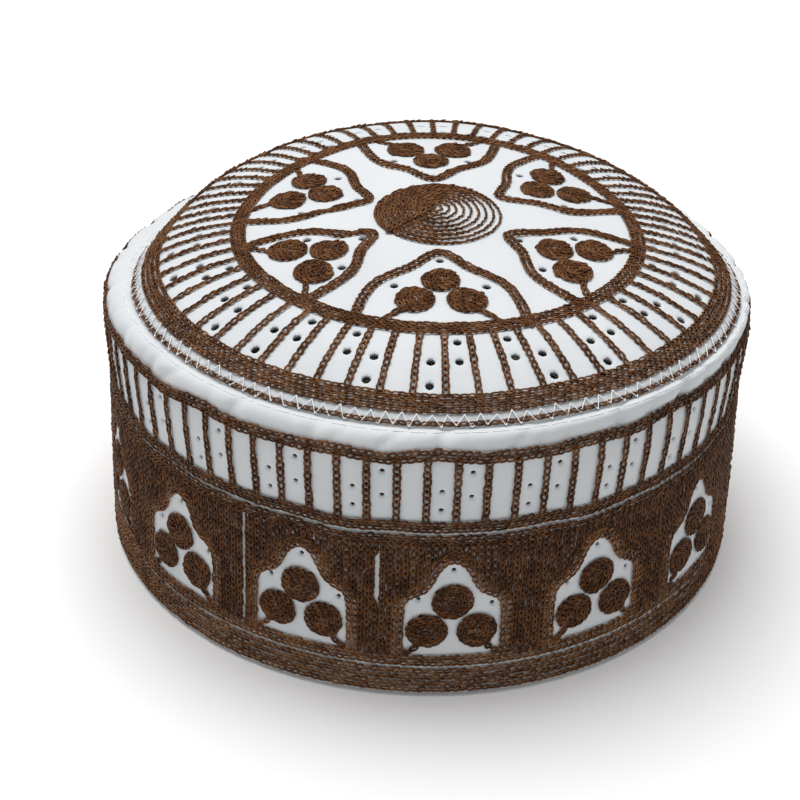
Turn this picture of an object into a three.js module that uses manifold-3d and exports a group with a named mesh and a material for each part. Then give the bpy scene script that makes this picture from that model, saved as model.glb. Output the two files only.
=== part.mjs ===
// Kufi: a round brimless cap of white cloth with brown chain-stitch embroidery.
// Millimetres, +Z up. The rim rests on z = 0, the front faces -Y, and angles run
// from the front towards +X.

import * as THREE from 'three';
import { mergeVertices } from 'three/addons/utils/BufferGeometryUtils.js';
import Module from 'manifold-3d';

const wasm = await Module();
wasm.setup();

const fullTurn = 2 * Math.PI;
const degree = Math.PI / 180;

// Cloth and thread
const clothThickness = 2;
const clothSegments = 44;
const threadGap = 0.3;
const threadThickness = 0.8;

// Outside of the side band's cloth, from the rim up to the top of its straight wall
const wallProfile = [
  { z: 0, r: 91.8 },
  { z: 56.4, r: 91 },
  { z: 75, r: 92.2 },
  { z: 78.7, r: 91.5 },
];

// The rolled shoulder above the wall, drawn in at its puckers, that follows the crown more and more
// and ends in the upright edge that the crown is sewn to
const puckerCount = clothSegments / 2;
const shoulderProfile = [
  { z: 80.6, r: 90.2, pucker: 0.5, follow: 0.4 },
  { z: 82, r: 88.8, pucker: 0.6, follow: 0.8 },
  { z: 82, r: 87.6, follow: 1 },
  { z: 79.4, r: 87.6, follow: 1 },
];

// Top of the crown's cloth, from its centre out to the seam
const crownProfile = [
  { r: 0, z: 97.8 },
  { r: 24, z: 97 },
  { r: 57, z: 93.3 },
  { r: 79, z: 86.9 },
  { r: 84.2, z: 84.2 },
  { r: 87.2, z: 81.8 },
];

// The soft crown stands a little off the rim's axis and is egg-shaped in plan
const crownLean = { shift: 2.6, oval: 0.018, egg: -0.023, fullRadius: 55 };
const crownRise = { tilt: 0.9, lobes: -0.75, twist: 0.5, radius: 83 };

// Embroidery of the crown
const medallionRadius = 18.2;
const crownBars = { count: 66, first: 2, width: 2.4, frontSpread: 0.05, sideSqueeze: 0.04 };
const crownRings = { innerFar: 54.9, innerNear: 59.3, outerNear: 78.9, outerFar: 84.2 };
const petals = [
  { angle: 1.5, spread: 1 },
  { angle: 62, spread: 0.84 },
  { angle: 126, spread: 0.92 },
  { angle: 184, spread: 0.88 },
  { angle: 248, spread: 1 },
  { angle: 305, spread: 0.74 },
];
const petalRow = 3.4;
const petalHalf = [
  { across: 0, up: 21.4 },
  { across: 5.4, up: 27.2 },
  { across: 13.5, up: 33.3 },
  { across: 19.6, up: 40.5 },
  { across: 22.6, up: 49.2 },
];
const crownTrefoil = [
  { across: 0, up: 36, radius: 5.4 },
  { across: -7, up: 45, radius: 5.6 },
  { across: 7, up: 45, radius: 5.6 },
];

// Eyelets punched through the crown: two in a cell of the ladder, three in a petal
const eyelet = { radius: 0.85, sides: 4, length: 12 };
const cellKinds = ['late', 'early', 'bare', 'early', 'late', 'bare'];
const cellEyelets = { late: [69, 76.4], early: [61.9, 68.8], bare: [] };
const petalEyelets = [
  { across: 0, up: 25.4 },
  { across: -12.4, up: 37.7 },
  { across: 12.4, up: 37.7 },
];

// Embroidery of the side band
const sideBars = { count: 75, first: 1.1, width: 2.4 };
const sideRows = { middleFoot: 47.9, middleTop: 56.4, topFoot: 75, topEdge: 78.7 };
const groundRows = { foot: 0.9, top: 47.5 };
const windows = { count: 14, first: 6, foot: 13.5, cutDepth: 12 };
const groundSegments = 56;
const windowHalf = [
  { across: 12.7, up: 29.5 },
  { across: 11.2, up: 31.8 },
  { across: 6.3, up: 34.6 },
  { across: 1.6, up: 43 },
];
const sideTrefoil = [
  { across: 0, up: 30.6, radius: 5.5 },
  { across: -6.6, up: 21.2, radius: 5.5 },
  { across: 6.6, up: 21.2, radius: 5.5 },
];
const trefoilSteps = 18;
const trefoilWeb = 3.2;
const trefoilGap = 0.45;
const medallionSteps = 24;

const whiteCloth = { color: 0xe6ebf0, roughness: 0.85, metalness: 0 };
const brownThread = { color: 0x5f3e26, roughness: 0.6, metalness: 0 };

const cap = new THREE.Group();

function addPiece(name, geometry, finish) {
  const mesh = new THREE.Mesh(geometry, new THREE.MeshStandardMaterial(finish));
  mesh.name = name;
  cap.add(mesh);
}

// Straight-line value of a profile table at a place between its rows
function along(table, place, from, to) {
  const last = table.length - 1;
  let row = table.findIndex((entry, index) => index === last || place <= table[index + 1][from]);
  row = Math.min(row, last - 1);
  const start = table[row];
  const end = table[row + 1];
  return start[to] + ((end[to] - start[to]) * (place - start[from])) / (end[from] - start[from]);
}

// A point of the ideal round cap, moved as far as it follows the soft crown
function settle(angle, radius, height, follow) {
  const spread = crownLean.oval * Math.cos(2 * angle) + crownLean.egg * Math.cos(3 * angle);
  const reach = radius * (1 + follow * Math.min(1, radius / crownLean.fullRadius) * spread);
  const rise =
    crownRise.tilt * Math.cos(angle) +
    crownRise.lobes * Math.cos(3 * angle) +
    crownRise.twist * Math.sin(2 * angle);
  return new THREE.Vector3(
    reach * Math.sin(angle) + follow * crownLean.shift,
    -reach * Math.cos(angle),
    height + follow * rise * (radius / crownRise.radius) ** 2,
  );
}

function crownPoint({ angle, radius }, lift) {
  return settle(angle, radius, along(crownProfile, radius, 'r', 'z') + lift, 1);
}

function sidePoint({ angle, z }, lift) {
  return settle(angle, along(wallProfile, z, 'z', 'r') + lift, z, 0);
}

// A place beside a petal's centre line, as an angle and a radius on the crown
function petalSite(petalAngle, across, up) {
  return { angle: petalAngle * degree + Math.atan2(across, up), radius: Math.hypot(across, up) };
}

// Only the position is kept, with shared corners merged and empty triangles dropped
function closedSurface(geometry) {
  geometry.deleteAttribute('normal');
  geometry.deleteAttribute('uv');
  const merged = mergeVertices(geometry, 1e-4);
  const corners = merged.getIndex().array;
  const kept = [];
  for (let i = 0; i < corners.length; i += 3) {
    const [a, b, c] = corners.slice(i, i + 3);
    if (a !== b && b !== c && c !== a) kept.push(a, b, c);
  }
  merged.setIndex(kept);
  return merged;
}

function toSolid(geometry) {
  const surface = closedSurface(geometry);
  const vertProperties = Float32Array.from(surface.getAttribute('position').array);
  const triVerts = Uint32Array.from(surface.getIndex().array);
  return new wasm.Manifold(new wasm.Mesh({ numProp: 3, vertProperties, triVerts }));
}

function toGeometry(solid) {
  const { vertProperties, triVerts } = solid.getMesh();
  const geometry = new THREE.BufferGeometry();
  geometry.setAttribute('position', new THREE.BufferAttribute(vertProperties, 3));
  geometry.setIndex(new THREE.BufferAttribute(triVerts, 1));
  return geometry;
}

// Triangles turned so that they all face out of the body
function outward(geometry) {
  const position = geometry.getAttribute('position');
  const corners = Array.from(geometry.getIndex().array);
  const [a, b, c] = [new THREE.Vector3(), new THREE.Vector3(), new THREE.Vector3()];
  let volume = 0;
  for (let i = 0; i < corners.length; i += 3) {
    [a, b, c].forEach((corner, k) => corner.fromBufferAttribute(position, corners[i + k]));
    volume += a.dot(b.cross(c));
  }
  if (volume < 0) geometry.setIndex(corners.reverse());
  return geometry;
}

// A turned wall, each row of its profile drawn in at its puckers and moved with the crown
function turnedCloth(profile, segments) {
  const outline = profile.map(({ r, z }) => new THREE.Vector2(r, z));
  const geometry = new THREE.LatheGeometry(outline, segments);
  const position = geometry.getAttribute('position');
  for (let i = 0; i < position.count; i += 1) {
    const { r, z, pucker = 0, follow = 0 } = profile[i % profile.length];
    const angle = (Math.floor(i / profile.length) / segments) * fullTurn;
    const drawnIn = pucker * (0.5 + 0.5 * Math.cos(puckerCount * angle));
    const point = settle(angle, r - drawnIn, z, follow);
    position.setXYZ(i, point.x, point.y, point.z);
  }
  return outward(closedSurface(geometry));
}

// Low relief over a surface: each triangle is raised, and the border is walled all round
function relief(pointAt, sites, triangles, gap = threadGap) {
  const positions = [];
  for (const lift of [threadGap + threadThickness, gap]) {
    for (const site of sites) positions.push(...pointAt(site, lift));
  }
  const under = sites.length;
  const corners = [];
  const border = new Map();
  for (const [a, b, c] of triangles) {
    corners.push(a, b, c, c + under, b + under, a + under);
    for (const [start, end] of [[a, b], [b, c], [c, a]]) {
      if (!border.delete(`${end} ${start}`)) border.set(`${start} ${end}`, [start, end]);
    }
  }
  for (const [start, end] of border.values()) {
    corners.push(start + under, end + under, end, start + under, end, start);
  }
  const geometry = new THREE.BufferGeometry();
  geometry.setAttribute('position', new THREE.Float32BufferAttribute(positions, 3));
  geometry.setIndex(corners);
  return outward(geometry);
}

// Two rings joined by bars. Each bar has a site on both far edges and its four corners.
function ladder(pointAt, count, barSites) {
  const sites = [];
  const triangles = [];
  for (let bar = 0; bar < count; bar += 1) sites.push(...barSites(bar));
  const perBar = sites.length / count;
  for (let bar = 0; bar < count; bar += 1) {
    const [farA, leftA, rightA, leftB, rightB, farB] = [0, 1, 2, 3, 4, 5].map((k) => bar * perBar + k);
    const next = ((bar + 1) % count) * perBar;
    const [nextFarA, nextLeftA, nextLeftB, nextFarB] = [next, next + 1, next + 3, next + 5];
    triangles.push([farA, leftA, rightA], [farA, rightA, nextFarA], [nextFarA, rightA, nextLeftA]);
    triangles.push([leftA, leftB, rightB], [leftA, rightB, rightA]);
    triangles.push([farB, rightB, leftB], [farB, nextFarB, rightB], [nextFarB, nextLeftB, rightB]);
  }
  return relief(pointAt, sites, triangles);
}

// A fan of triangles from a middle site to the sites around it
function fan(pointAt, middle, around, gap) {
  const triangles = around.map((_, k) => [0, 1 + k, 1 + ((k + 1) % around.length)]);
  return relief(pointAt, [middle, ...around], triangles, gap);
}

// A row of thread along a line of plane points, mitred at its corners
function ribbon(pointAt, siteAt, line, width) {
  const sites = [];
  const triangles = [];
  line.forEach((point, index) => {
    const before = line[Math.max(index - 1, 0)];
    const after = line[Math.min(index + 1, line.length - 1)];
    const heading = after.clone().sub(before).normalize();
    const arriving = index > 0 ? point.clone().sub(before).normalize() : heading;
    const sideways = new THREE.Vector2(-heading.y, heading.x);
    sideways.multiplyScalar(width / 2 / arriving.dot(heading));
    sites.push(siteAt(point.clone().add(sideways)), siteAt(point.clone().sub(sideways)));
  });
  for (let k = 0; k < sites.length - 2; k += 2) {
    triangles.push([k, k + 1, k + 3], [k, k + 3, k + 2]);
  }
  return relief(pointAt, sites, triangles);
}

// Three discs run together, traced around their middle
function trefoil(pointAt, siteAt, discs) {
  const middle = new THREE.Vector2();
  discs.forEach(({ across, up }) => middle.add(new THREE.Vector2(across, up).divideScalar(discs.length)));
  const around = [];
  for (let step = 0; step < trefoilSteps; step += 1) {
    const heading = (step / trefoilSteps) * fullTurn + Math.PI / 2;
    const ray = new THREE.Vector2(Math.cos(heading), Math.sin(heading));
    const exits = discs.map(({ across, up, radius }) => {
      const offset = new THREE.Vector2(across, up).sub(middle);
      const forward = offset.dot(ray);
      const room = radius ** 2 - offset.lengthSq() + forward ** 2;
      return room > 0 ? forward + Math.sqrt(room) : 0;
    });
    around.push(siteAt(ray.multiplyScalar(Math.max(trefoilWeb, ...exits)).add(middle)));
  }
  return fan(pointAt, siteAt(middle), around, trefoilGap);
}

// The crown's bars stand a little wider apart at the front than at the sides
function crownBarAngle(bar) {
  const even = crownBars.first * degree + (bar * fullTurn) / crownBars.count;
  return even + crownBars.frontSpread * Math.sin(even) + crownBars.sideSqueeze * Math.sin(2 * even);
}

function sideBand() {
  const inside = wallProfile.slice(0, 3).map(({ z, r }) => ({ z, r: r - clothThickness })).reverse();
  const profile = [...wallProfile, ...shoulderProfile, ...inside, wallProfile[0]];
  return turnedCloth(profile, clothSegments);
}

function eyeletSites() {
  const sites = [];
  for (let cell = 0; cell < crownBars.count; cell += 1) {
    const angle = (crownBarAngle(cell - 1) + crownBarAngle(cell)) / 2;
    const kind = cellKinds[cell % cellKinds.length];
    for (const radius of cellEyelets[kind]) sites.push({ angle, radius });
  }
  for (const { angle, spread } of petals) {
    for (const { across, up } of petalEyelets) sites.push(petalSite(angle, across * spread, up));
  }
  return sites;
}

function crownPanel() {
  const topside = crownProfile.map(({ r, z }) => ({ r, z, follow: 1 }));
  const underside = topside.map((row) => ({ ...row, z: row.z - clothThickness })).reverse();
  let panel = toSolid(turnedCloth([...topside, ...underside], clothSegments));
  for (const site of eyeletSites()) {
    const punch = new THREE.CylinderGeometry(eyelet.radius, eyelet.radius, eyelet.length, eyelet.sides);
    punch.rotateX(Math.PI / 2);
    punch.translate(...crownPoint(site, -clothThickness / 2));
    panel = panel.subtract(toSolid(punch));
  }
  return toGeometry(panel);
}

function crownMedallion() {
  const around = [];
  for (let step = 0; step < medallionSteps; step += 1) {
    around.push({ angle: (step / medallionSteps) * fullTurn, radius: medallionRadius });
  }
  return fan(crownPoint, { angle: 0, radius: 0 }, around, threadGap);
}

function crownLadder() {
  const { innerFar, innerNear, outerNear, outerFar } = crownRings;
  return ladder(crownPoint, crownBars.count, (bar) => {
    const angle = crownBarAngle(bar);
    const corner = (radius, side) => ({ angle: angle + (side * crownBars.width) / 2 / radius, radius });
    return [
      { angle, radius: innerFar },
      corner(innerNear, -1),
      corner(innerNear, 1),
      corner(outerNear, -1),
      corner(outerNear, 1),
      { angle, radius: outerFar },
    ];
  });
}

function crownPetal({ angle, spread }) {
  const right = petalHalf.map(({ across, up }) => new THREE.Vector2(across * spread, up));
  const left = right.slice(1).map(({ x, y }) => new THREE.Vector2(-x, y)).reverse();
  return ribbon(crownPoint, ({ x, y }) => petalSite(angle, x, y), [...left, ...right], petalRow);
}

function sideLadder() {
  const { middleFoot, middleTop, topFoot, topEdge } = sideRows;
  const turn = sideBars.width / 2 / wallProfile[1].r;
  return ladder(sidePoint, sideBars.count, (bar) => {
    const angle = sideBars.first * degree + (bar * fullTurn) / sideBars.count;
    return [
      { angle, z: topEdge },
      { angle: angle - turn, z: topFoot },
      { angle: angle + turn, z: topFoot },
      { angle: angle - turn, z: middleTop },
      { angle: angle + turn, z: middleTop },
      { angle, z: middleFoot },
    ];
  });
}

function windowAngle(window) {
  return windows.first * degree + (window * fullTurn) / windows.count;
}

function sideGround() {
  const levels = [groundRows.foot, groundRows.top];
  const inside = levels.map((z) => ({ z, r: along(wallProfile, z, 'z', 'r') + threadGap }));
  const outside = inside.map(({ z, r }) => ({ z, r: r + threadThickness })).reverse();
  let ground = toSolid(turnedCloth([...inside, ...outside, inside[0]], groundSegments));
  const arch = new THREE.Shape();
  arch.moveTo(-windowHalf[0].across, windows.foot);
  arch.lineTo(windowHalf[0].across, windows.foot);
  windowHalf.forEach(({ across, up }) => arch.lineTo(across, up));
  [...windowHalf].reverse().forEach(({ across, up }) => arch.lineTo(-across, up));
  for (let window = 0; window < windows.count; window += 1) {
    const cutter = new THREE.ExtrudeGeometry(arch, { depth: windows.cutDepth, bevelEnabled: false });
    cutter.rotateX(Math.PI / 2);
    cutter.translate(0, windows.cutDepth / 2 - wallProfile[0].r, 0);
    cutter.rotateZ(windowAngle(window));
    ground = ground.subtract(toSolid(cutter));
  }
  return toGeometry(ground);
}

addPiece('side_band', sideBand(), whiteCloth);
addPiece('crown_panel', crownPanel(), whiteCloth);
addPiece('crown_medallion', crownMedallion(), brownThread);
addPiece('crown_ladder', crownLadder(), brownThread);
petals.forEach((petal, index) => {
  const siteAt = ({ x, y }) => petalSite(petal.angle, x, y);
  addPiece(`crown_petal_${index + 1}`, crownPetal(petal), brownThread);
  addPiece(`crown_trefoil_${index + 1}`, trefoil(crownPoint, siteAt, crownTrefoil), brownThread);
});
addPiece('side_ladder', sideLadder(), brownThread);
addPiece('side_ground', sideGround(), brownThread);
for (let window = 0; window < windows.count; window += 1) {
  const siteAt = ({ x, y }) => ({ angle: windowAngle(window) + x / wallProfile[0].r, z: y });
  addPiece(`side_trefoil_${window + 1}`, trefoil(sidePoint, siteAt, sideTrefoil), brownThread);
}

export default cap;
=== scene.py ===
import math

import bpy
import numpy as np
from mathutils import Matrix, Vector, geometry


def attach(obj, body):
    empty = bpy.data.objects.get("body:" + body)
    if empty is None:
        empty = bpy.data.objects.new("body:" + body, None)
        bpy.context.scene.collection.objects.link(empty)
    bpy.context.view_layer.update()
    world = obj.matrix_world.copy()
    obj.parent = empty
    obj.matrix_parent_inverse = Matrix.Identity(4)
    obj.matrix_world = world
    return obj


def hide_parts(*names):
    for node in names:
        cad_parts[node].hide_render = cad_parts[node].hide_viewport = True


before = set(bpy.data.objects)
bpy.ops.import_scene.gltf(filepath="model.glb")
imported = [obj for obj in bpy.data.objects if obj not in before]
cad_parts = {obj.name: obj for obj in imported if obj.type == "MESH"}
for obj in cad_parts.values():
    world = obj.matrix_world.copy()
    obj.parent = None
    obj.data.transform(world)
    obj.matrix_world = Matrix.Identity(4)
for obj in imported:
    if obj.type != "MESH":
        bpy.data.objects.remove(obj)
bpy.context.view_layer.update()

milli = 0.001  # sizes below are millimetres, meshes are metres
turn = 2 * math.pi
print("frame loaded,", len(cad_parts), "nodes")


# Numbers along a table, joined by smooth curves

def smoothTable(rows):
    column, *values = np.array(rows, float).T
    values = np.array(values).T
    slopes = np.gradient(values, column, axis=0)

    def read(at):
        at = np.clip(np.asarray(at, float), column[0], column[-1])
        k = np.clip(np.searchsorted(column, at) - 1, 0, len(column) - 2)
        step = (column[k + 1] - column[k])[:, None]
        t = (at - column[k])[:, None] / step
        start = (1 + 2 * t) * (1 - t) ** 2 * values[k] + t * (1 - t) ** 2 * step * slopes[k]
        end = t * t * (3 - 2 * t) * values[k + 1] + t * t * (t - 1) * step * slopes[k + 1]
        return (start + end).T

    return read


def smoothStep(low, high, value):
    t = np.clip((value - low) / (high - low), 0, 1)
    return t * t * (3 - 2 * t)


# The cap's two surfaces: a flat place on the cloth goes to a point in space

cap = {
    "wallRadius": 91.3,  # unrolls the wall to a strip
    "wallEnd": 84.4,  # along the cloth, over the rolled shoulder to the seam
    "crownEdge": 87.2,
    "thickness": 2.0,
}
lean = {"shift": 2.6, "oval": 0.018, "egg": -0.023, "fullRadius": 55}
rise = {"tilt": 0.9, "lobes": -0.75, "twist": 0.5, "radius": 83}
crownHeight = smoothTable([  # radius, height
    (-19, 97.2), (0, 97.8), (19, 97.2), (38, 95.8), (57, 93.3),
    (70, 90.4), (79, 86.9), (84.2, 84.2), (87.2, 81.8),
])
wallSection = smoothTable([  # along the cloth, radius, height, how far it follows the crown
    (0, 91.8, 0, 0), (28, 91.3, 28, 0), (56.4, 91, 56.4, 0), (75, 92.2, 75, 0), (78.7, 91.9, 78.7, 0),
    (80.9, 91.3, 80.85, 0.4), (82.6, 90.0, 81.85, 0.8), (84.4, 87.35, 81.9, 1),
])
puckers = [  # gathers of the shoulder, then its finer slanted creases
    {"count": 22, "depth": 1.0, "halfWidth": 0.022, "slant": 0.0, "from": 73, "full": 80, "seed": 5},
    {"count": 46, "depth": 0.55, "halfWidth": 0.016, "slant": 0.012, "from": 77, "full": 80, "seed": 6},
]
gather = {"stray": 0.25, "shares": (0.45, 1.3), "dip": 0.5}  # how uneven the puckers are, how far they sink
sags = [(-122, 42, 5.6), (114, 32, 2.8)]  # angle and half width in degrees, depth of the rim's sag
sagging = {"wall": (45, 80), "crown": (78, 88)}  # from and full, along the wall and out on the crown
tuck = {"share": 0.25, "starts": (60, 73), "ends": (78, 80.5)}  # the wall draws in under a sagging roll
behind = {  # the dome's back stands fuller and falls away sooner
    "rise": 1.0, "riseReach": (45, 74), "drop": 2.2, "dropReach": (80, 87), "facing": (0.1, 0.7),
}
crownWave = {"depth": 0.18, "across": 8, "up": 9.5, "phase": 1}
wallWave = {"depth": 0.3, "count": 5, "phase": 1, "height": 18, "fade": (60, 75)}
creases = [  # across, up, heading in degrees, half length, half width, depth
    (-33, 4, 165, 12, 2.2, 0.8), (-27, -14, 40, 8, 2.0, 0.7), (33, 5, 12, 12, 2.2, 0.8),
    (27, -15, 140, 8, 2.0, 0.7), (-14, 26, 115, 9, 2.4, 0.6), (16, 27, 65, 9, 2.4, 0.6),
]


def drawPuckers(kind):
    draw = np.random.default_rng(kind["seed"])
    steps = np.arange(kind["count"]) + draw.uniform(-gather["stray"], gather["stray"], kind["count"])
    depths = kind["depth"] * draw.uniform(*gather["shares"], kind["count"])
    return steps * turn / kind["count"], depths, kind["slant"] * draw.uniform(-1, 1, kind["count"])


puckerDraws = [drawPuckers(kind) for kind in puckers]


def settle(angle, radius, height, follow):
    spread = lean["oval"] * np.cos(2 * angle) + lean["egg"] * np.cos(3 * angle)
    reach = radius * (1 + follow * np.minimum(1, radius / lean["fullRadius"]) * spread)
    lift = rise["tilt"] * np.cos(angle) + rise["lobes"] * np.cos(3 * angle)
    lift += rise["twist"] * np.sin(2 * angle)
    return np.stack([
        reach * np.sin(angle) + follow * lean["shift"],
        -reach * np.cos(angle),
        height + follow * lift * (radius / rise["radius"]) ** 2,
    ], axis=1)


def puckerAt(angle, along):
    depth = np.zeros(len(angle))
    for kind, (places, deeps, slants) in zip(puckers, puckerDraws):
        centres = places + slants * (along[:, None] - kind["full"])
        gap = (angle[:, None] - centres + math.pi) % turn - math.pi
        pinched = (deeps * np.exp(-(gap / kind["halfWidth"]) ** 2)).sum(axis=1)
        depth += pinched * smoothStep(kind["from"], kind["full"], along)
    return depth


def sagAt(angle):
    depth = np.zeros(len(angle))
    for centre, halfWidth, deep in sags:
        gap = (angle - math.radians(centre) + math.pi) % turn - math.pi
        depth += deep * np.exp(-(gap / math.radians(halfWidth)) ** 2)
    return depth


def rearAt(angle):
    return smoothStep(*behind["facing"], -np.cos(angle))


def creaseAt(flat):
    depth = np.zeros(len(flat))
    for across, up, heading, halfLength, halfWidth, deep in creases:
        east, north = flat[:, 0] - across, flat[:, 1] - up
        c, s = math.cos(math.radians(heading)), math.sin(math.radians(heading))
        along, aside = east * c + north * s, north * c - east * s
        depth += deep * np.exp(-(along / halfLength) ** 2 - (aside / halfWidth) ** 2)
    return depth


def crownPoints(flat):
    radius = np.hypot(flat[:, 0], flat[:, 1])
    angle = np.arctan2(flat[:, 0], -flat[:, 1])
    wave = np.sin(flat[:, 0] / crownWave["across"] + crownWave["phase"])
    wave *= np.sin(flat[:, 1] / crownWave["up"])
    rear = behind["rise"] * smoothStep(*behind["riseReach"], radius)
    rear -= behind["drop"] * smoothStep(*behind["dropReach"], radius)
    height = crownHeight(radius)[0] - creaseAt(flat) + crownWave["depth"] * wave + rear * rearAt(angle)
    return settle(angle, radius, height - sagAt(angle) * smoothStep(*sagging["crown"], radius), 1)


def wallPoints(flat):
    angle, along = flat[:, 0] / cap["wallRadius"], flat[:, 1]
    radius, height, follow = wallSection(along)
    pinch = puckerAt(angle, along)
    wave = wallWave["depth"] * np.sin(wallWave["count"] * angle + wallWave["phase"])
    wave *= np.sin(along / wallWave["height"]) * (1 - smoothStep(*wallWave["fade"], along))
    rear = (behind["drop"] - behind["rise"]) * follow * rearAt(angle)
    sag = sagAt(angle) * smoothStep(*sagging["wall"], along)
    tucked = smoothStep(*tuck["starts"], along) * (1 - smoothStep(*tuck["ends"], along))
    reach = radius - pinch + wave - tuck["share"] * sagAt(angle) * tucked
    return settle(angle, reach, height - gather["dip"] * pinch - rear - sag, follow)


def onSurface(points, flat):
    flat = np.asarray(flat, float)
    nudge = 0.05
    across = points(flat + (nudge, 0)) - points(flat - (nudge, 0))
    along = points(flat + (0, nudge)) - points(flat - (0, nudge))
    normals = np.cross(across, along)
    return points(flat), normals / np.linalg.norm(normals, axis=1, keepdims=True)


def polar(angle, radius):
    return np.stack([radius * np.sin(angle), -radius * np.cos(angle)], axis=-1)


# Materials

def addNode(tree, kind, inputs=None, **settings):
    node = tree.nodes.new(kind)
    for key, value in settings.items():
        setattr(node, key, value)
    for key, value in (inputs or {}).items():
        if isinstance(value, bpy.types.NodeSocket):
            tree.links.new(value, node.inputs[key])
        else:
            node.inputs[key].default_value = value
    return node


def newMaterial(name, **values):
    material = bpy.data.materials.new(name)
    material.use_nodes = True
    surface = material.node_tree.nodes["Principled BSDF"]
    for key, value in values.items():
        surface.inputs[key].default_value = value
    return material, material.node_tree, surface


def colourRamp(tree, value, stops):
    node = addNode(tree, "ShaderNodeValToRGB", {"Fac": value})
    while len(node.color_ramp.elements) < len(stops):
        node.color_ramp.elements.new(1)
    for element, (place, colour) in zip(node.color_ramp.elements, stops):
        element.position, element.color = place, (*colour, 1)
    return node.outputs["Color"]


def threadMaterial():
    material, tree, surface = newMaterial("brownThread", **{
        "Roughness": 0.55, "Specular IOR Level": 0.12, "Sheen Weight": 0.03, "Sheen Roughness": 0.4,
        "Sheen Tint": (0.9, 0.5, 0.25, 1),
    })
    spot = addNode(tree, "ShaderNodeTexCoord").outputs["Object"]
    # the shade attribute is a random tone per link plus each piece's painted light and shade
    shade = addNode(tree, "ShaderNodeAttribute", attribute_name="shade").outputs["Fac"]
    patch = addNode(tree, "ShaderNodeTexNoise", {"Vector": spot, "Scale": 90, "Detail": 2})
    fibre = addNode(tree, "ShaderNodeTexNoise", {"Vector": spot, "Scale": 2600, "Detail": 1})
    mixed = -0.1  # each part adds its share to where the ramp is read
    for part, share in ((shade, 0.35), (patch.outputs["Fac"], 0.25), (fibre.outputs["Fac"], 0.6)):
        mixed = addNode(tree, "ShaderNodeMath", {0: part, 1: share, 2: mixed},
                        operation="MULTIPLY_ADD").outputs[0]
    colour = colourRamp(tree, mixed, [
        (0.2, (0.04, 0.014, 0.005)), (0.5, (0.115, 0.044, 0.0145)), (0.8, (0.235, 0.108, 0.045)),
    ])
    bump = addNode(tree, "ShaderNodeBump", {
        "Height": fibre.outputs["Fac"], "Strength": 0.35, "Distance": 0.0002})
    tree.links.new(colour, surface.inputs["Base Color"])
    tree.links.new(bump.outputs["Normal"], surface.inputs["Normal"])
    return material


def clothMaterial():
    material, tree, surface = newMaterial("whiteCloth", **{
        "Roughness": 0.88, "Specular IOR Level": 0.2, "Sheen Weight": 0.12, "Sheen Roughness": 0.5,
    })
    yarns = {"scale": 90.0, "strength": 0.22, "depth": 0.00012}  # crossed waves on the flat cloth
    place = addNode(tree, "ShaderNodeUVMap", uv_map="clothFlat").outputs["UV"]
    spot = addNode(tree, "ShaderNodeTexCoord").outputs["Object"]
    warp, weft = (
        addNode(tree, "ShaderNodeTexWave", {"Vector": place, "Scale": yarns["scale"], "Distortion": 0.6},
                bands_direction=way).outputs["Fac"] for way in "XY"
    )
    cross = addNode(tree, "ShaderNodeMath", {0: warp, 1: weft}, operation="MULTIPLY").outputs[0]
    patch = addNode(tree, "ShaderNodeTexNoise", {"Vector": spot, "Scale": 45, "Detail": 4}).outputs["Fac"]
    colour = colourRamp(tree, patch, [(0.3, (0.625, 0.652, 0.67)), (0.7, (0.675, 0.693, 0.707))])
    bump = addNode(tree, "ShaderNodeBump", {"Height": cross, "Strength": yarns["strength"],
                                            "Distance": yarns["depth"]})
    tree.links.new(colour, surface.inputs["Base Color"])
    tree.links.new(bump.outputs["Normal"], surface.inputs["Normal"])
    return material


brownThread, whiteCloth = threadMaterial(), clothMaterial()
whiteThread = newMaterial("whiteThread", **{
    "Base Color": (0.86, 0.88, 0.9, 1), "Roughness": 0.6, "Sheen Weight": 0.2,
})[0]
print("materials made")


# Cloth: a flat net of triangles with dimpled holes, laid on a surface with a back and closed edges

dimpleForm = {"clear": 0.5, "shoulder": 0.4, "shoulderDip": 0.3}  # the shoulder is a middle ring


def newObject(name, vertices, faces, edges=()):
    mesh = bpy.data.meshes.new(name)
    mesh.from_pydata(np.asarray(vertices) * milli, edges, faces)
    piece = bpy.data.objects.new(name, mesh)
    bpy.context.scene.collection.objects.link(piece)
    return piece


def awayFrom(grid, centres, distance):
    gaps = np.linalg.norm(grid[:, None] - np.asarray(centres)[None], axis=2)
    return grid[gaps.min(axis=1) > distance]


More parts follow.
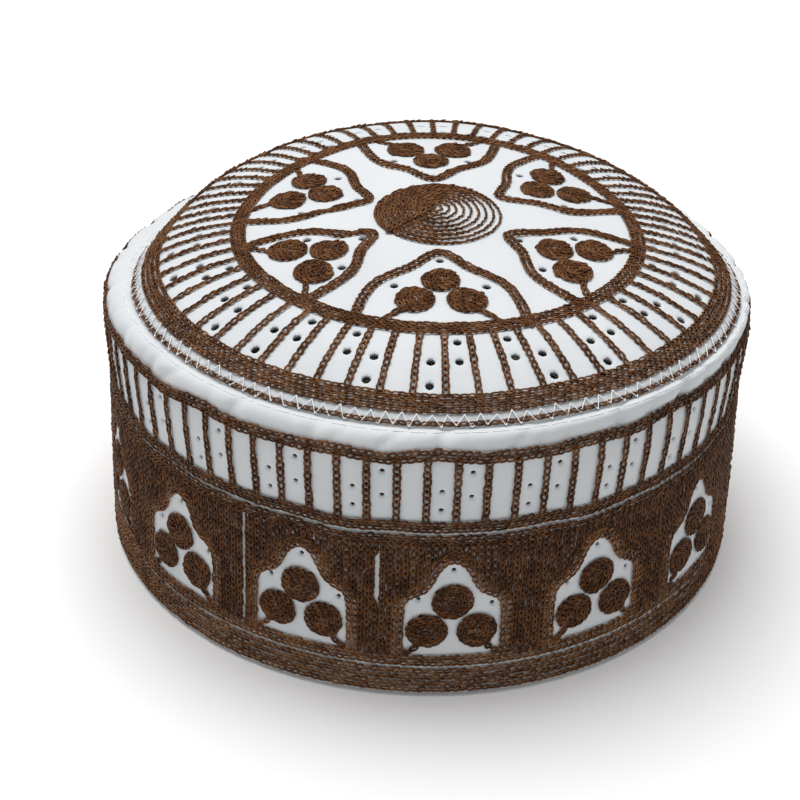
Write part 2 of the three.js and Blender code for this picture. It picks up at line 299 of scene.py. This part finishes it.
def clothPiece(name, points, grid, openings, hole, thickness, joined=False):
    flat = [awayFrom(grid, openings, hole["dimple"] + dimpleForm["clear"])]
    sunk, lip = [np.zeros(len(flat[0]))], [np.full(len(flat[0]), np.inf)]
    spokes = np.arange(hole["corners"]) * turn / hole["corners"]
    shoulder = hole["radius"] + dimpleForm["shoulder"] * (hole["dimple"] - hole["radius"])
    rings = [  # radius, how far the cloth dips, the most that it is thick there
        (hole["radius"], hole["sunk"], hole["edge"]),
        (shoulder, dimpleForm["shoulderDip"] * hole["sunk"], np.inf),
        (hole["dimple"], 0, np.inf),
    ]
    for centre in openings:
        for radius, depth, edge in rings:
            flat.append(centre + polar(spokes, radius))
            sunk.append(np.full(hole["corners"], depth))
            lip.append(np.full(hole["corners"], edge))
    flat, sunk, lip = np.concatenate(flat), np.concatenate(sunk), np.concatenate(lip)

    net = geometry.delaunay_2d_cdt([tuple(p) for p in flat], [], [], 0, 1e-5)
    order = np.array([ids[0] for ids in net[3]])  # the net's points in the order they were given
    corners = order[np.array([list(face) for face in net[2]])]
    middles = flat[corners].mean(axis=1)
    gaps = np.linalg.norm(middles[:, None] - openings[None], axis=2).min(axis=1)
    corners = corners[gaps > hole["radius"] * 0.9]  # faces inside a hole are left out

    owner = np.arange(len(flat))
    if joined:  # the strip's two ends are one line of points at the back
        starts, ends = (np.where(np.isclose(flat[:, 0], limit))[0]
                        for limit in (flat[:, 0].min(), flat[:, 0].max()))
        owner[ends[np.argsort(flat[ends, 1])]] = starts[np.argsort(flat[starts, 1])]
    place, normals = onSurface(points, flat)
    outer = place - normals * sunk[:, None]
    inner = place - normals * np.minimum(thickness(flat), lip)[:, None]
    count = len(flat)
    faces = owner[corners]
    sides, flatSides = (np.concatenate([kind[:, [0, 1]], kind[:, [1, 2]], kind[:, [2, 0]]])
                        for kind in (faces, corners))
    seen = {tuple(side) for side in sides}
    border = [k for k, (a, b) in enumerate(sides) if (b, a) not in seen]
    walls = [(b, a, a + count, b + count) for a, b in sides[border]]
    allFaces = [*faces.tolist(), *(faces[:, ::-1] + count).tolist(), *walls]
    flatFaces = [*corners.tolist(), *corners[:, ::-1].tolist(), *[(b, a, a, b) for a, b in flatSides[border]]]

    piece = newObject(name, np.concatenate([outer, inner]), allFaces)
    layer = piece.data.uv_layers.new(name="clothFlat")
    loops = np.concatenate([np.array(face) for face in flatFaces])
    layer.data.foreach_set("uv", (flat[loops] * milli).ravel())
    piece.data.shade_smooth()
    piece.data.materials.append(whiteCloth)
    return piece


# Chain stitches: links set along drawn rows

uneven = {  # how much the links differ: turned either way in radians, smallest and largest scale
    "twist": (0.16, 0.14, 0.14), "smallest": (0.92, 0.88, 0.95), "largest": (1.08, 1.1, 1.1),
}


def newTree(name, sockets):
    tree = bpy.data.node_groups.new(name, "GeometryNodeTree")
    for socket, kind in sockets.items():
        tree.interface.new_socket(socket, in_out="INPUT", socket_type="NodeSocket" + kind)
    tree.interface.new_socket("Geometry", in_out="OUTPUT", socket_type="NodeSocketGeometry")

    def add(kind, inputs=None, **settings):
        return addNode(tree, kind, inputs, **settings).outputs

    return tree, tree.nodes.new("NodeGroupInput").outputs, add


def closeTree(tree, add, whole, material):
    whole = add("GeometryNodeRealizeInstances", {"Geometry": whole})[0]
    whole = add("GeometryNodeSetShadeSmooth", {"Geometry": whole})[0]
    whole = add("GeometryNodeSetMaterial", {"Geometry": whole, "Material": material})[0]
    tree.links.new(whole, tree.nodes.new("NodeGroupOutput").inputs["Geometry"])
    return tree


def chainTree():
    sizes = ("Pitch", "Link Length", "Link Width", "Thread", "Wobble", "Tilt", "Taper", "Painted Light And Shade")
    tree, given, add = newTree("chainStitch", {
        "Geometry": "Geometry", **{name: "Float" for name in sizes}, "Seed": "Int", "Material": "Material"})

    def randomVector(low, high):
        return add("FunctionNodeRandomValue", {0: low, 1: high, "Seed": given["Seed"]},
                   data_type="FLOAT_VECTOR")[0]

    halfLength = add("ShaderNodeMath", {0: given["Link Length"], 1: 0.5}, operation="MULTIPLY")[0]
    halfWidth = add("ShaderNodeMath", {0: given["Link Width"], 1: 0.5}, operation="MULTIPLY")[0]
    wire = add("ShaderNodeCombineXYZ", {"X": halfLength, "Y": halfWidth, "Z": 1.0})[0]
    slope = add("ShaderNodeCombineXYZ", {"Y": given["Tilt"]})[0]
    loop = add("GeometryNodeCurvePrimitiveCircle", {"Resolution": 8, "Radius": 1.0})["Curve"]
    spot = add("ShaderNodeSeparateXYZ", {0: add("GeometryNodeInputPosition")[0]})
    narrow = add("ShaderNodeMath", {0: spot["X"], 1: given["Taper"], 2: 1.0}, operation="MULTIPLY_ADD")[0]
    aside = add("ShaderNodeMath", {0: spot["Y"], 1: narrow}, operation="MULTIPLY")[0]
    drop = add("ShaderNodeCombineXYZ", {"X": spot["X"], "Y": aside})[0]
    loop = add("GeometryNodeSetPosition", {"Geometry": loop, "Position": drop})[0]  # a ring drawn to a drop
    loop = add("GeometryNodeTransform", {"Geometry": loop, "Scale": wire})[0]
    loop = add("GeometryNodeTransform", {"Geometry": loop, "Rotation": slope})[0]
    section = add("GeometryNodeCurvePrimitiveCircle", {"Resolution": 3, "Radius": given["Thread"]})["Curve"]
    link = add("GeometryNodeCurveToMesh", {"Curve": loop, "Profile Curve": section})[0]

    rows = add("GeometryNodeMeshToCurve", {"Mesh": given["Geometry"]})[0]
    rows = add("GeometryNodeResampleCurve", {"Curve": rows, "Length": given["Pitch"]}, mode="LENGTH")[0]
    stray = add("ShaderNodeVectorMath", {0: randomVector((-1, -1, -1), (1, 1, 1)), "Scale": given["Wobble"]},
                operation="SCALE")[0]
    rows = add("GeometryNodeSetPosition", {"Geometry": rows, "Offset": stray})[0]

    up = add("GeometryNodeInputNamedAttribute", {"Name": "up"}, data_type="FLOAT_VECTOR")[0]
    wide = add("GeometryNodeInputNamedAttribute", {"Name": "wide"}, data_type="FLOAT")[0]
    along = add("GeometryNodeInputTangent")[0]
    heading = add("FunctionNodeAxesToRotation", {0: up, 1: along}, primary_axis="Z", secondary_axis="X")[0]
    twist = randomVector(tuple(-most for most in uneven["twist"]), uneven["twist"])
    twist = add("FunctionNodeEulerToRotation", {0: twist})[0]
    heading = add("FunctionNodeRotateRotation", {0: heading, 1: twist}, rotation_space="LOCAL")[0]
    girth = add("ShaderNodeCombineXYZ", {"X": 1.0, "Y": wide, "Z": 1.0})[0]
    scale = add("ShaderNodeVectorMath", {0: randomVector(uneven["smallest"], uneven["largest"]), 1: girth},
                operation="MULTIPLY")[0]
    chain = add("GeometryNodeInstanceOnPoints", {
        "Points": rows, "Instance": link, "Rotation": heading, "Scale": scale})[0]
    shade = add("FunctionNodeRandomValue", {2: 0.0, 3: 1.0, "Seed": given["Seed"]}, data_type="FLOAT")[1]
    # painted light and shade: the whole piece's thread is read lighter or darker in the ramp
    shade = add("ShaderNodeMath", {0: shade, 1: given["Painted Light And Shade"]}, operation="ADD")[0]
    chain = add("GeometryNodeStoreNamedAttribute", {"Geometry": chain, "Name": "shade", "Value": shade},
                data_type="FLOAT", domain="INSTANCE")[0]
    return closeTree(tree, add, chain, given["Material"])


def tubeTree():
    tree, given, add = newTree("threadTube", {
        "Geometry": "Geometry", "Thread": "Float", "Material": "Material"})
    rows = add("GeometryNodeMeshToCurve", {"Mesh": given["Geometry"]})[0]
    section = add("GeometryNodeCurvePrimitiveCircle", {"Resolution": 5, "Radius": given["Thread"]})["Curve"]
    tube = add("GeometryNodeCurveToMesh", {"Curve": rows, "Profile Curve": section, "Fill Caps": True})[0]
    return closeTree(tree, add, tube, given["Material"])


def rowPiece(name, points, rows, tree, lift, values):
    places, ups, widths, edges = [], [], [], []
    for row in rows:
        first, count = sum(len(part) for part in places), len(row["line"])
        place, normals = onSurface(points, row["line"])
        places.append(place + normals * (lift + row.get("raise", 0)))
        ups.append(normals)
        widths.append(np.broadcast_to(row.get("wide", 1.0), count))
        edges += [(first + k, first + k + 1) for k in range(count - 1)]
        if row.get("closed"):
            edges.append((first + count - 1, first))
    piece = newObject(name, np.concatenate(places), [], edges)
    ups, widths = np.concatenate(ups), np.concatenate(widths)
    piece.data.attributes.new("up", "FLOAT_VECTOR", "POINT").data.foreach_set("vector", ups.ravel())
    piece.data.attributes.new("wide", "FLOAT", "POINT").data.foreach_set("value", widths)
    modifier = piece.modifiers.new("rows", "NODES")
    modifier.node_group = tree
    for item in tree.interface.items_tree:
        if item.in_out == "INPUT" and item.name in values:
            modifier[item.identifier] = values[item.name]
    seen = piece.evaluated_get(bpy.context.evaluated_depsgraph_get())
    mesh = bpy.data.meshes.new_from_object(seen)
    piece.modifiers.clear()
    piece.data = mesh
    print(name, len(mesh.polygons), "faces")
    return piece


chainNodes, tubeNodes = chainTree(), tubeTree()
stitch = {"Pitch": 1.95, "Link Length": 2.5, "Link Width": 1.22, "Thread": 0.34, "Wobble": 0.07}
links = {"Tilt": 0.17, "Taper": 0.3}  # a link's slope in radians, how much wider its front is
discStitch = {"Pitch": 1.8, "Thread": 0.42}
groundStitch = {"Pitch": 1.85, "Thread": 0.43}
stitchLift = 0.52
whiteStitch = {"Thread": 0.16 * milli, "Material": whiteThread}


# A piece's whole thread can be made lighter (painted light) or darker (painted shade) by one offset
def chainPiece(name, points, rows, seed, paintedLightAndShade=0.0, **changes):
    sizes = {key: value * milli for key, value in {**stitch, **changes}.items()}
    values = {**sizes, **links, "Painted Light And Shade": paintedLightAndShade, "Seed": seed, "Material": brownThread}
    return rowPiece(name, points, rows, chainNodes, stitchLift, values)


# Lines on the flat cloth

def evenLine(line, step=0.7):
    line = np.asarray(line, float)
    run = np.concatenate([[0], np.cumsum(np.linalg.norm(np.diff(line, axis=0), axis=1))])
    at = np.linspace(0, run[-1], max(2, int(run[-1] / step)))
    return np.stack([np.interp(at, run, line[:, k]) for k in (0, 1)], axis=1)


def roundedLine(line, passes=3):
    line = np.asarray(line, float)
    for _ in range(passes):  # corners are cut, ends are kept
        near, far = line[:-1] * 0.75 + line[1:] * 0.25, line[:-1] * 0.25 + line[1:] * 0.75
        line = np.concatenate([line[:1], np.stack([near, far], axis=1).reshape(-1, 2), line[-1:]])
    return line


def besideLine(line, distance):
    ahead = np.gradient(line, axis=0)
    ahead /= np.linalg.norm(ahead, axis=1, keepdims=True)
    return line + distance * np.stack([-ahead[:, 1], ahead[:, 0]], axis=1)


def coil(centre, radius, pitch, start, eye, rim=0.7, steps=40):
    turns = (radius - eye) / pitch + rim  # the last stretch stays on the rim
    spin = np.linspace(0, turns * turn, int(turns * steps))
    reach = np.minimum(eye + pitch * spin / turn, radius)
    return np.asarray(centre) + polar(start + spin - turns * turn, reach)


def ringLine(radius, steps=360):
    return polar(np.arange(steps) * turn / steps, radius)


def ripple(angle, size, phase):
    waves = [(17, 1), (26, 0.7), (9, 0.5)]  # waves round the cap, share of each
    return size / 2 * sum(
        share * np.sin(count * angle + (k + 1) * phase) for k, (count, share) in enumerate(waves))


def wallRing(height, size=0, phase=0, steps=720):
    angle = np.arange(steps) * turn / steps - math.pi
    return np.stack([angle * cap["wallRadius"], height + ripple(angle, size, phase)], axis=1)


# Crown

petals = [(1.5, 1), (62, 0.84), (126, 0.92), (184, 0.88), (248, 1), (305, 0.74)]  # angle in degrees, spread
petalHalf = [  # across, up
    (0, 20.6), (5, 26), (7.5, 29.5), (13.5, 33.3), (17.5, 36.5), (20, 41.3), (22.5, 50), (22.7, 53.6),
]
petalDiscs = [(0, 36, 5.4), (-7, 45, 5.6), (7, 45, 5.6)]  # across, up, radius
petalStem = [(10, 49.3), (13, 51), (15.5, 53.4)]
petalEyelets = [(0, 25.4), (-12.4, 37.7), (12.4, 37.7)]
cellKinds = ("late", "early", "bare", "early", "late", "bare")
cellEyelets = {"late": (69, 76.4), "early": (61.9, 68.8), "bare": ()}  # radii between two bars
eyelet = {"radius": 1.22, "dimple": 2.1, "corners": 16, "sunk": 0.3, "edge": 0.9}
crownNet = {"step": 1.9, "margin": 1.2, "edgePoints": 288}
crownBars = {
    "count": 66, "first": math.radians(2), "drift": (0.05, 0.04),  # the bars crowd and spread round the crown
    "foot": 60.2, "top": 78.4, "steps": 12, "wide": 1.12,
}


def barAngle(k):
    even = crownBars["first"] + k * turn / crownBars["count"]
    once, twice = crownBars["drift"]
    return even + once * np.sin(even) + twice * np.sin(2 * even)


def petalLine(petal, line):
    angle, spread = math.radians(petal[0]), petal[1]
    across, up = np.asarray(line, float).T
    return polar(angle + np.arctan2(across * spread, up), np.hypot(across * spread, up))


def crownEyelets():
    found = [site for petal in petals for site in petalLine(petal, petalEyelets)]
    for k in range(crownBars["count"]):
        middle = (barAngle(k - 1) + barAngle(k)) / 2
        found += [polar(middle, radius) for radius in cellEyelets[cellKinds[k % len(cellKinds)]]]
    return np.array(found)


def crownCloth():
    edge = cap["crownEdge"]
    ticks = np.arange(-edge, edge, crownNet["step"])
    grid = np.stack(np.meshgrid(ticks, ticks), axis=-1).reshape(-1, 2)
    grid = grid[np.hypot(*grid.T) < edge - crownNet["margin"]]
    grid = np.concatenate([grid, ringLine(edge, crownNet["edgePoints"])])
    piece = clothPiece("crownCloth", crownPoints, grid, crownEyelets(), eyelet,
                       lambda flat: np.full(len(flat), cap["thickness"]))
    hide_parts("crown_panel")
    return piece


medallion = {
    "radius": 17.6, "pitch": 1.95, "core": 0.8, "eye": (-1.7, 2.6),  # the eye is off the middle
    "looseSide": math.radians(75), "looseFrom": 0.25, "looseThin": 0.55,  # the rows thin out on one side
    "seam": math.radians(-50), "seamSteps": 9, "seamRaise": 0.5, "seamWide": 1.1,
}


def crownMedallion():
    radius, eye, seamAngle = medallion["radius"], np.array(medallion["eye"]), medallion["seam"]
    line = coil((0, 0), radius, medallion["pitch"], seamAngle, medallion["core"])
    facing = np.cos(np.arctan2(line[:, 0], -line[:, 1]) - medallion["looseSide"])
    loose = np.clip(facing + medallion["looseFrom"], 0, 1)
    inward = 1 - np.hypot(*line.T) / radius
    steps = medallion["seamSteps"]
    seam = polar(np.full(steps, seamAngle), np.linspace(0, radius, steps))
    seam += np.linspace(1, 0, steps)[:, None] * eye
    rows = [
        {"line": line + inward[:, None] * eye, "wide": 1.0 - medallion["looseThin"] * loose},
        {"line": evenLine(seam), "raise": medallion["seamRaise"], "wide": medallion["seamWide"]},
    ]
    # painted light: the medallion's thread is lightened as a whole
    piece = chainPiece("crownMedallion", crownPoints, rows, seed=11, paintedLightAndShade=0.15)
    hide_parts("crown_medallion")
    return piece


petalRows = {"step": 1.5, "gap": 0.8, "wide": 0.85}


def crownPetals():
    half = np.array(petalHalf, float)
    whole = np.concatenate([half[::-1] * (-1, 1), half[1:]])
    rows = []
    for petal in petals:
        bent = petalLine(petal, evenLine(roundedLine(whole), petalRows["step"]))
        middle = evenLine(roundedLine(bent, passes=2))
        for side in (-petalRows["gap"], petalRows["gap"]):
            rows.append({"line": besideLine(middle, side), "wide": petalRows["wide"]})
    # painted light: the petal outlines' thread is lightened as a whole
    piece = chainPiece("crownPetals", crownPoints, rows, seed=12, paintedLightAndShade=0.1)
    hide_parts(*[f"crown_petal_{k + 1}" for k in range(len(petals))])
    return piece


crownDisc = {"pitch": 1.75, "spare": 0.95, "core": 0.7, "turn": 2.2}


def crownTrefoils():
    rows = []
    for petal in petals:
        for across, up, radius in petalDiscs:
            centre = petalLine((petal[0], 1), [(across, up)])[0]
            start = math.pi if across == 0 else math.copysign(crownDisc["turn"], across)
            disc = coil(centre, radius - crownDisc["spare"], crownDisc["pitch"],
                        math.radians(petal[0]) + start, crownDisc["core"])
            rows.append({"line": disc})
        for sign in (-1, 1):
            stem = petalLine((petal[0], 1), np.array(petalStem) * (sign, 1))
            rows.append({"line": evenLine(roundedLine(stem))})
    piece = chainPiece("crownTrefoils", crownPoints, rows, seed=13, **discStitch)
    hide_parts(*[f"crown_trefoil_{k + 1}" for k in range(len(petals))])
    return piece


crownRings = {
    "inner": (55.6, 57.1, 58.6), "innerWide": 0.86, "outer": (79.6, 81.0, 82.3, 83.6), "outerWide": 0.82,
    "edge": 86.3, "edgeWide": 0.8, "edgeRaise": -0.05, "steps": 480,
}


def crownLadder():
    steps, bar = crownRings["steps"], crownBars["steps"]
    rows = [{"line": ringLine(radius), "closed": True, "wide": crownRings["innerWide"]}
            for radius in crownRings["inner"]]
    rows += [{"line": ringLine(radius, steps), "closed": True, "wide": crownRings["outerWide"]}
             for radius in crownRings["outer"]]
    rows.append({"line": ringLine(crownRings["edge"], steps), "closed": True,
                 "wide": crownRings["edgeWide"], "raise": crownRings["edgeRaise"]})
    reach = np.linspace(crownBars["foot"], crownBars["top"], bar)
    rows += [{"line": polar(np.full(bar, barAngle(k)), reach), "wide": crownBars["wide"]}
             for k in range(crownBars["count"])]
    # painted light: the crown ladder's thread is lightened as a whole
    piece = chainPiece("crownLadder", crownPoints, rows, seed=14, paintedLightAndShade=0.1)
    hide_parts("crown_ladder")
    return piece


def crownSeam():
    zigzag = {"teeth": 134, "inner": 84.3, "outer": 87.0, "stray": 0.4, "sway": 0.2, "steps": 6,
              "lift": 0.62, "seed": 21}
    draw = np.random.default_rng(zigzag["seed"])
    teeth = np.arange(2 * zigzag["teeth"])
    reach = np.where(teeth % 2, zigzag["outer"], zigzag["inner"])
    reach = reach + draw.uniform(-zigzag["stray"], zigzag["stray"], len(teeth))
    angles = (teeth + draw.uniform(-zigzag["sway"], zigzag["sway"], len(teeth))) * turn / len(teeth)
    reach, angles = np.append(reach, reach[0]), np.append(angles, angles[0] + turn)
    rows = [{"line": polar(np.linspace(angles[k], angles[k + 1], zigzag["steps"]),
                           np.linspace(reach[k], reach[k + 1], zigzag["steps"]))} for k in teeth]
    return rowPiece("seamZigzag", crownPoints, rows, tubeNodes, zigzag["lift"], whiteStitch)


# Wall

slits = [(-30.5, 14, 48), (-6.7, 30, 46)]  # bare lines in the ground: angle in degrees, from and to height
windows = {"count": 14, "first": math.radians(6)}
windowHalf = [  # across, up
    (12.7, 13.6), (12.7, 29.3), (11.3, 31.5), (7.2, 33.5), (5.3, 36), (3.4, 41), (0, 43.7),
]
windowDiscs = [(0, 30.9, 5.7), (-6.7, 21.3, 5.6), (6.7, 21.3, 5.6)]  # across, up, radius
windowStem = [(8.4, 17.6), (9.6, 15.8), (11.6, 14.2)]
windowPricks = [(0, 40.8), (-9.1, 31.4), (10.6, 29.5)]
cellPricks = ((65.9, 59.7), (71.9, 64.0), ())  # heights between two bars
prick = {"radius": 0.66, "dimple": 1.5, "corners": 12, "sunk": 0.45, "edge": 0.9}
wallNet = {
    "columns": 430, "rise": 2.0, "rollFrom": 72, "rollRise": 0.9, "pricksOff": 3,  # pricks keep off the join
    "thinned": 1.3, "thinFrom": (79, 83),  # the cloth thins towards the seam
}
wallBars = {"count": 75, "first": math.radians(1.1), "foot": 57.0, "top": 74.8, "steps": 12, "wide": 1.2}
sideRows = {
    "top": (75.9, 77.7), "topRipple": (0.75, 0.4),  # a ripple's size and phase
    "middle": (55.5, 53.75, 51.15, 49.25), "middleRipple": (0.5, 2.1),
}


def windowCentres():
    return (windows["first"] + np.arange(windows["count"]) * turn / windows["count"]) * cap["wallRadius"]


def windowOutline(out):
    half = np.array(windowHalf, float)
    whole = np.concatenate([half * (-1, 1), half[-2::-1]])
    return besideLine(evenLine(roundedLine(whole)), out)


def wallBarAngle(k):
    return wallBars["first"] + k * turn / wallBars["count"]


def wrapped(line):
    line = np.array(line, float)
    half = math.pi * cap["wallRadius"]
    line[:, 0] -= 2 * half * np.round(line[:, 0].mean() / (2 * half))
    return line


def wallPricks():
    found = [(centre + across, up) for centre in windowCentres() for across, up in windowPricks]
    for k in range(wallBars["count"]):
        middle = (wallBarAngle(k) + wallBarAngle(k + 1)) / 2 * cap["wallRadius"]
        found += [(middle, up) for up in cellPricks[k % len(cellPricks)]]
    half = math.pi * cap["wallRadius"]
    found = np.array(found)
    found[:, 0] = (found[:, 0] + half) % (2 * half) - half
    return found[np.abs(found[:, 0]) < half - wallNet["pricksOff"]]


def wallCloth():
    half, end = math.pi * cap["wallRadius"], cap["wallEnd"]
    upright = np.arange(0, wallNet["rollFrom"], wallNet["rise"])
    roll = np.arange(wallNet["rollFrom"], end - wallNet["rollRise"] / 2, wallNet["rollRise"])
    heights = np.concatenate([upright, roll, [end]])
    across = np.linspace(-half, half, wallNet["columns"])
    grid = np.stack(np.meshgrid(across, heights), axis=-1).reshape(-1, 2)

    def thickness(flat):
        return cap["thickness"] - wallNet["thinned"] * smoothStep(*wallNet["thinFrom"], flat[:, 1])

    piece = clothPiece("wallCloth", wallPoints, grid, wallPricks(), prick, thickness, joined=True)
    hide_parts("side_band")
    return piece


def sideLadder():
    rows = [{"line": wallRing(up, *sideRows["topRipple"]), "closed": True} for up in sideRows["top"]]
    rows += [{"line": wallRing(up, *sideRows["middleRipple"]), "closed": True} for up in sideRows["middle"]]
    for k in range(wallBars["count"]):
        angle = wallBarAngle(k)
        ups = np.linspace(wallBars["foot"] + ripple(angle, *sideRows["middleRipple"]),
                          wallBars["top"] + ripple(angle, *sideRows["topRipple"]), wallBars["steps"])
        line = np.stack([np.full(len(ups), angle * cap["wallRadius"]), ups], axis=1)
        rows.append({"line": wrapped(line), "wide": wallBars["wide"]})
    # painted shade: the wall ladder's thread is darkened as a whole
    piece = chainPiece("sideLadder", wallPoints, rows, seed=15, paintedLightAndShade=-0.2)
    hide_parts("side_ladder")
    return piece


groundRows = {
    "perWindow": 21, "foot": 14.2, "top": 47.9, "steps": 24, "shortest": 0.5,
    "clearOut": 3.4, "tuckUnder": 0.4, "slitGap": 1.35,
}


def besideSlits(line):
    for angle, low, high in slits:
        aside = line[:, 0] - math.radians(angle) * cap["wallRadius"]
        push = np.sign(aside) * np.maximum(0, groundRows["slitGap"] - np.abs(aside))
        line[:, 0] += push * ((line[:, 1] > low) & (line[:, 1] < high))
    return line


def sideGround():
    rows = []
    outline = windowOutline(groundRows["clearOut"])
    pitch = turn * cap["wallRadius"] / windows["count"] / groundRows["perWindow"]
    for k in range(groundRows["perWindow"]):
        aside = (k + 1 - groundRows["perWindow"] / 2) * pitch
        foot = groundRows["foot"]
        if abs(aside) < outline[:, 0].max():
            nearest = np.argsort(np.abs(np.abs(outline[:, 0]) - abs(aside)))[:3]
            foot = outline[nearest, 1].max() - groundRows["tuckUnder"]
        for centre in windowCentres():
            top = groundRows["top"] + ripple((centre + aside) / cap["wallRadius"], *sideRows["middleRipple"])
            if foot < top - groundRows["shortest"]:
                ups = np.linspace(foot, top, groundRows["steps"])
                line = wrapped(np.stack([np.full(len(ups), centre + aside), ups], axis=1))
                rows.append({"line": besideSlits(line)})
    # painted shade: the dense ground's thread is darkened as a whole
    piece = chainPiece("sideGround", wallPoints, rows, seed=16, paintedLightAndShade=-0.4, **groundStitch)
    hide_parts("side_ground")
    return piece


outlineRows = {"out": (0.95, 2.75), "base": (12.4, 10.5, 7.9, 5.8, 3.7, 1.6), "baseWide": 1.02}


def sideOutlines():
    rows = [{"line": wallRing(up), "closed": True, "wide": outlineRows["baseWide"]}
            for up in outlineRows["base"]]
    for out in outlineRows["out"]:
        outline = windowOutline(out)
        rows += [{"line": wrapped(outline + (centre, 0))} for centre in windowCentres()]
    # painted light: the base rows and window outlines are lightened as a whole
    piece = chainPiece("sideOutlines", wallPoints, rows, seed=17, paintedLightAndShade=0.35)
    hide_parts("side_ground")
    return piece


wallDisc = {"pitch": 1.75, "spare": 0.95, "core": 0.7, "turn": 0.6}


def sideTrefoils():
    rows = []
    for centre in windowCentres():
        for across, up, radius in windowDiscs:
            start = 0 if across == 0 else math.copysign(wallDisc["turn"], across)
            disc = coil((centre + across, up), radius - wallDisc["spare"], wallDisc["pitch"], start,
                        wallDisc["core"])
            rows.append({"line": wrapped(disc)})
        for sign in (-1, 1):
            stem = evenLine(roundedLine(np.array(windowStem) * (sign, 1)))
            rows.append({"line": wrapped(stem + (centre, 0))})
    # painted shade: the wall discs' thread is darkened as a whole
    piece = chainPiece("sideTrefoils", wallPoints, rows, seed=18, paintedLightAndShade=-0.25, **discStitch)
    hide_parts(*[f"side_trefoil_{k + 1}" for k in range(windows["count"])])
    return piece


def rollStitches():
    run = {"count": 108, "along": 83.2, "share": 0.78, "stray": 0.006, "steps": 6, "lift": 0.05, "seed": 22}
    draw = np.random.default_rng(run["seed"])
    rows = []
    for k in range(run["count"]):
        start = k / run["count"] * turn - math.pi + draw.uniform(-run["stray"], run["stray"])
        angles = start + np.linspace(0, run["share"] * turn / run["count"], run["steps"])
        line = np.stack([angles * cap["wallRadius"], np.full(run["steps"], run["along"])], axis=1)
        rows.append({"line": line})
    return rowPiece("rollStitches", wallPoints, rows, tubeNodes, run["lift"], whiteStitch)


crownSheet, wallSheet = crownCloth(), wallCloth()
print("cloth made")
crownRows = [crownMedallion(), crownPetals(), crownTrefoils(), crownLadder(), crownSeam()]
wallRows = [sideLadder(), sideGround(), sideOutlines(), sideTrefoils(), rollStitches()]
for piece in (crownSheet, wallSheet, *crownRows, *wallRows):
    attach(piece, "root")
print("pieces placed")


# Floor, light and camera

def stageFloor():
    size = {"half": 2000, "height": -0.6}  # just under the lowest stitches
    corners = [(x * size["half"], y * size["half"], size["height"])
               for x, y in ((-1, -1), (1, -1), (1, 1), (-1, 1))]
    floor = newObject("floor", corners, [(0, 1, 2, 3)])
    floor.data.materials.append(newMaterial("paleFloor", **{
        "Base Color": (0.97, 0.97, 0.97, 1), "Roughness": 0.9, "Specular IOR Level": 0.1})[0])


def areaLight(name, place, size, energy):
    light = bpy.data.lights.new(name, "AREA")
    light.size, light.energy = size, energy
    lamp = bpy.data.objects.new(name, light)
    lamp.location = place
    lamp.rotation_euler = Vector(place).to_track_quat("Z", "Y").to_euler()  # aimed at the origin
    bpy.context.scene.collection.objects.link(lamp)


def studio():
    light = {"world": 0.41, "softbox": (-0.15, 0.2, 1.3), "softboxSize": 1.0, "softboxPower": 16.5}
    view = {
        "place": (0, -0.52441, 0.36914), "pitch": 58.28, "roll": 1.93,
        "sensor": 36, "lens": 93.74, "shift": (-0.0302, -0.0349),
    }
    scene = bpy.context.scene
    scene.view_settings.view_transform = "Standard"
    world = bpy.data.worlds.new("studio")
    scene.world = world
    world.use_nodes = True
    background = world.node_tree.nodes["Background"]
    background.inputs["Color"].default_value = (1, 1, 1, 1)
    background.inputs["Strength"].default_value = light["world"]
    areaLight("softbox", light["softbox"], light["softboxSize"], light["softboxPower"])
    camera = bpy.data.objects.new("camera", bpy.data.cameras.new("camera"))
    camera.data.sensor_width, camera.data.lens = view["sensor"], view["lens"]
    camera.data.shift_x, camera.data.shift_y = view["shift"]
    camera.location = view["place"]
    pitch = Matrix.Rotation(math.radians(view["pitch"]), 3, "X")
    roll = Matrix.Rotation(math.radians(view["roll"]), 3, "Z")
    camera.rotation_euler = (pitch @ roll).to_euler()
    scene.collection.objects.link(camera)
    scene.camera = camera


stageFloor()
studio()
print("stage set")
